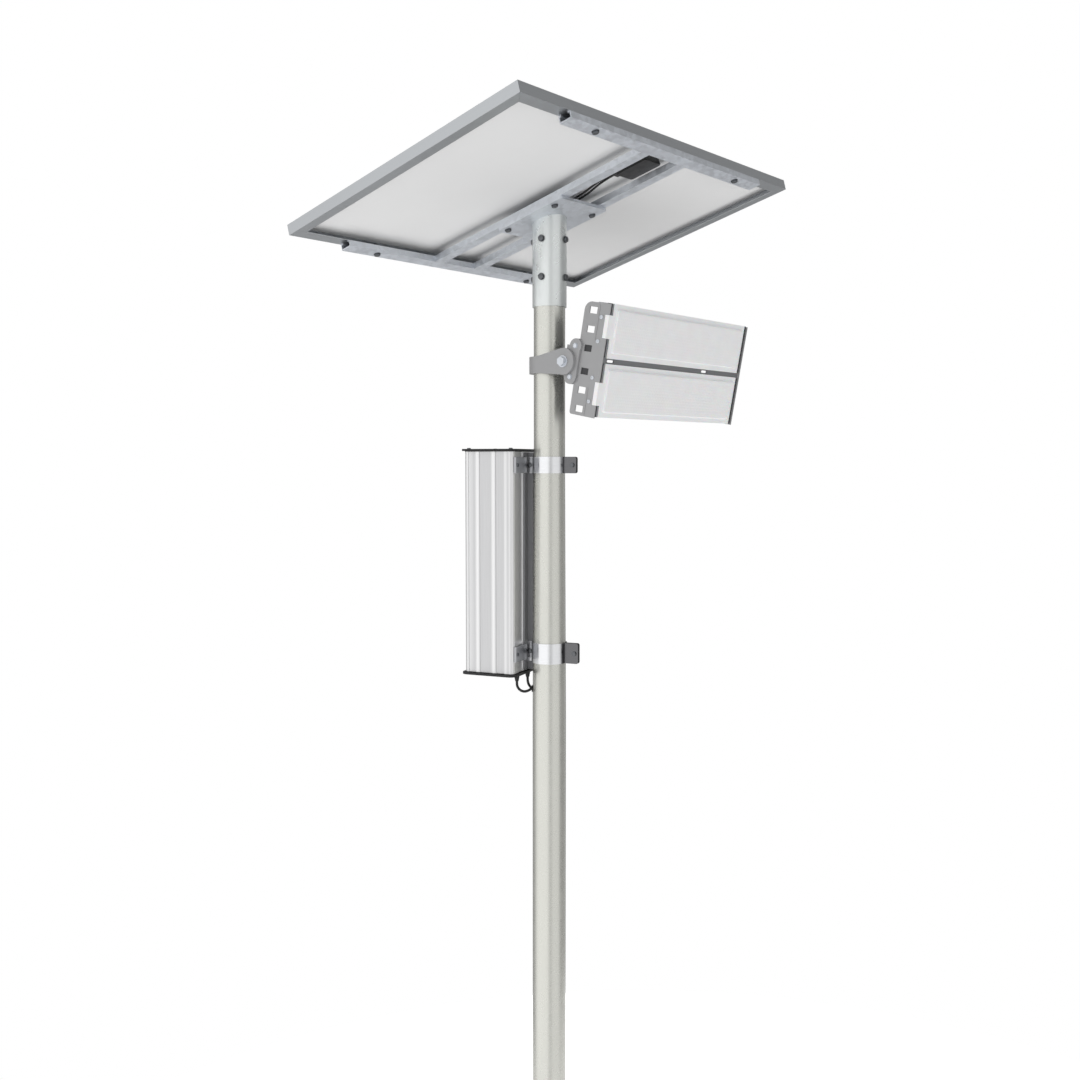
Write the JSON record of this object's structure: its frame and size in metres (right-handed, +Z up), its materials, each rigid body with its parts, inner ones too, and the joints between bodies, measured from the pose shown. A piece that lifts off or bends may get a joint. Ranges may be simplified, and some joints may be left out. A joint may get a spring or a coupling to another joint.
{
  "type": "solar street lamp",
  "caption": "Solar street lamp: a pole with a tilted solar panel on a swivelling sleeve, an LED flood lamp on a tilting arm, and a strapped-on battery box.",
  "frame": {"origin": "centre of the four anchor holes, on the underside of the base plate, on the pole's axis", "axes": "+Z up the pole, +X along the lamp, away from its arm, +Y the way the panel slopes down"},
  "size_m": [1.106, 0.6981, 4.0008],
  "materials": {
    "pole_paint": "satin powder coat, warm pale grey",
    "head_paint": "satin powder coat, cool pale grey",
    "rail_zinc": "dull zinc plate",
    "frame_aluminium": "matt anodised",
    "box_aluminium": "bright anodised extrusion",
    "strap_steel": "bright brushed stainless steel",
    "bolt_steel": "dark zinc plate",
    "black_plastic": "matt moulded",
    "black_rubber": "matt",
    "cable_sheath": "semi-matt cable sheath",
    "cell_wrap": "shrink wrap",
    "board": "white solder mask",
    "backsheet": "white laminated film",
    "solar_cells": "dark blue silicon",
    "panel_glass": "clear tempered",
    "lamp_paint": "satin mid grey powder coat",
    "lamp_aluminium": "matt anodised extrusion",
    "cap_dark": "satin dark grey powder coat",
    "frosted_lens": "frosted polycarbonate"
  },
  "bodies": {
    "pole": {"base_plate": "pole_paint", "base_gussets": "pole_paint", "pole_lower_tube": "pole_paint", "pole_upper_tube": "pole_paint", "pole_grommets": "black_rubber", "box_shell": "box_aluminium", "box_cap_top": "black_plastic", "box_cap_bottom": "black_plastic", "box_gaskets": "black_rubber", "box_screws": "bolt_steel", "battery_cells": "cell_wrap", "cell_holders": "black_plastic", "charge_controller": "black_plastic", "box_rear_rail": "cap_dark", "rail_clamp_plates": "lamp_aluminium", "straps_near": "strap_steel", "straps_far": "strap_steel", "strap_bolts": "bolt_steel", "box_glands": "black_plastic", "battery_cable_near": "cable_sheath", "battery_cable_far": "cable_sheath"},
    "panel_head": {"head_sleeve": "head_paint", "head_plate": "rail_zinc", "sleeve_set_bolts": "bolt_steel", "head_bolts": "bolt_steel", "head_nuts": "bolt_steel", "rail_left": "rail_zinc", "rail_right": "rail_zinc", "cross_rail_high": "rail_zinc", "cross_rail_low": "rail_zinc", "frame_high": "frame_aluminium", "frame_low": "frame_aluminium", "frame_left": "frame_aluminium", "frame_right": "frame_aluminium", "panel_glass": "panel_glass", "cell_laminate": "solar_cells", "panel_backsheet": "backsheet", "junction_box": "black_plastic", "junction_box_lid": "black_plastic", "panel_lead_left": "cable_sheath", "panel_lead_right": "cable_sheath"},
    "lamp_arm": {"arm_hoop": "lamp_paint", "arm_clamp_bolt": "bolt_steel", "tilt_bolt": "rail_zinc"},
    "lamp": {"knuckle": "lamp_paint", "knuckle_plate": "cap_dark", "knuckle_bolts": "rail_zinc", "lamp_bracket_left": "lamp_paint", "lamp_bracket_right": "lamp_paint", "tie_bar": "lamp_aluminium", "module_housing_upper": "lamp_aluminium", "module_housing_lower": "lamp_aluminium", "lens_upper": "frosted_lens", "lens_lower": "frosted_lens", "lens_gaskets": "black_rubber", "led_boards": "board", "module_end_caps": "lamp_aluminium", "bracket_pads": "cap_dark", "module_screws": "rail_zinc", "lamp_gland": "black_plastic"}
  },
  "joints": [
    {"name": "head_swivel", "type": "hinge", "parent": "pole", "child": "panel_head", "pos_m": [0, 0, 3.75], "axis": [0, 0, 1], "range_deg": [-180, 180]},
    {"name": "lamp_pan", "type": "hinge", "parent": "pole", "child": "lamp_arm", "pos_m": [0, 0, 3.514], "axis": [0, 0, 1], "range_deg": [-170, 170]},
    {"name": "lamp_tilt", "type": "hinge", "parent": "lamp_arm", "child": "lamp", "pos_m": [0, -0.08, 3.5175], "axis": [1, 0, 0], "range_deg": [-45, 28]}
  ]
}
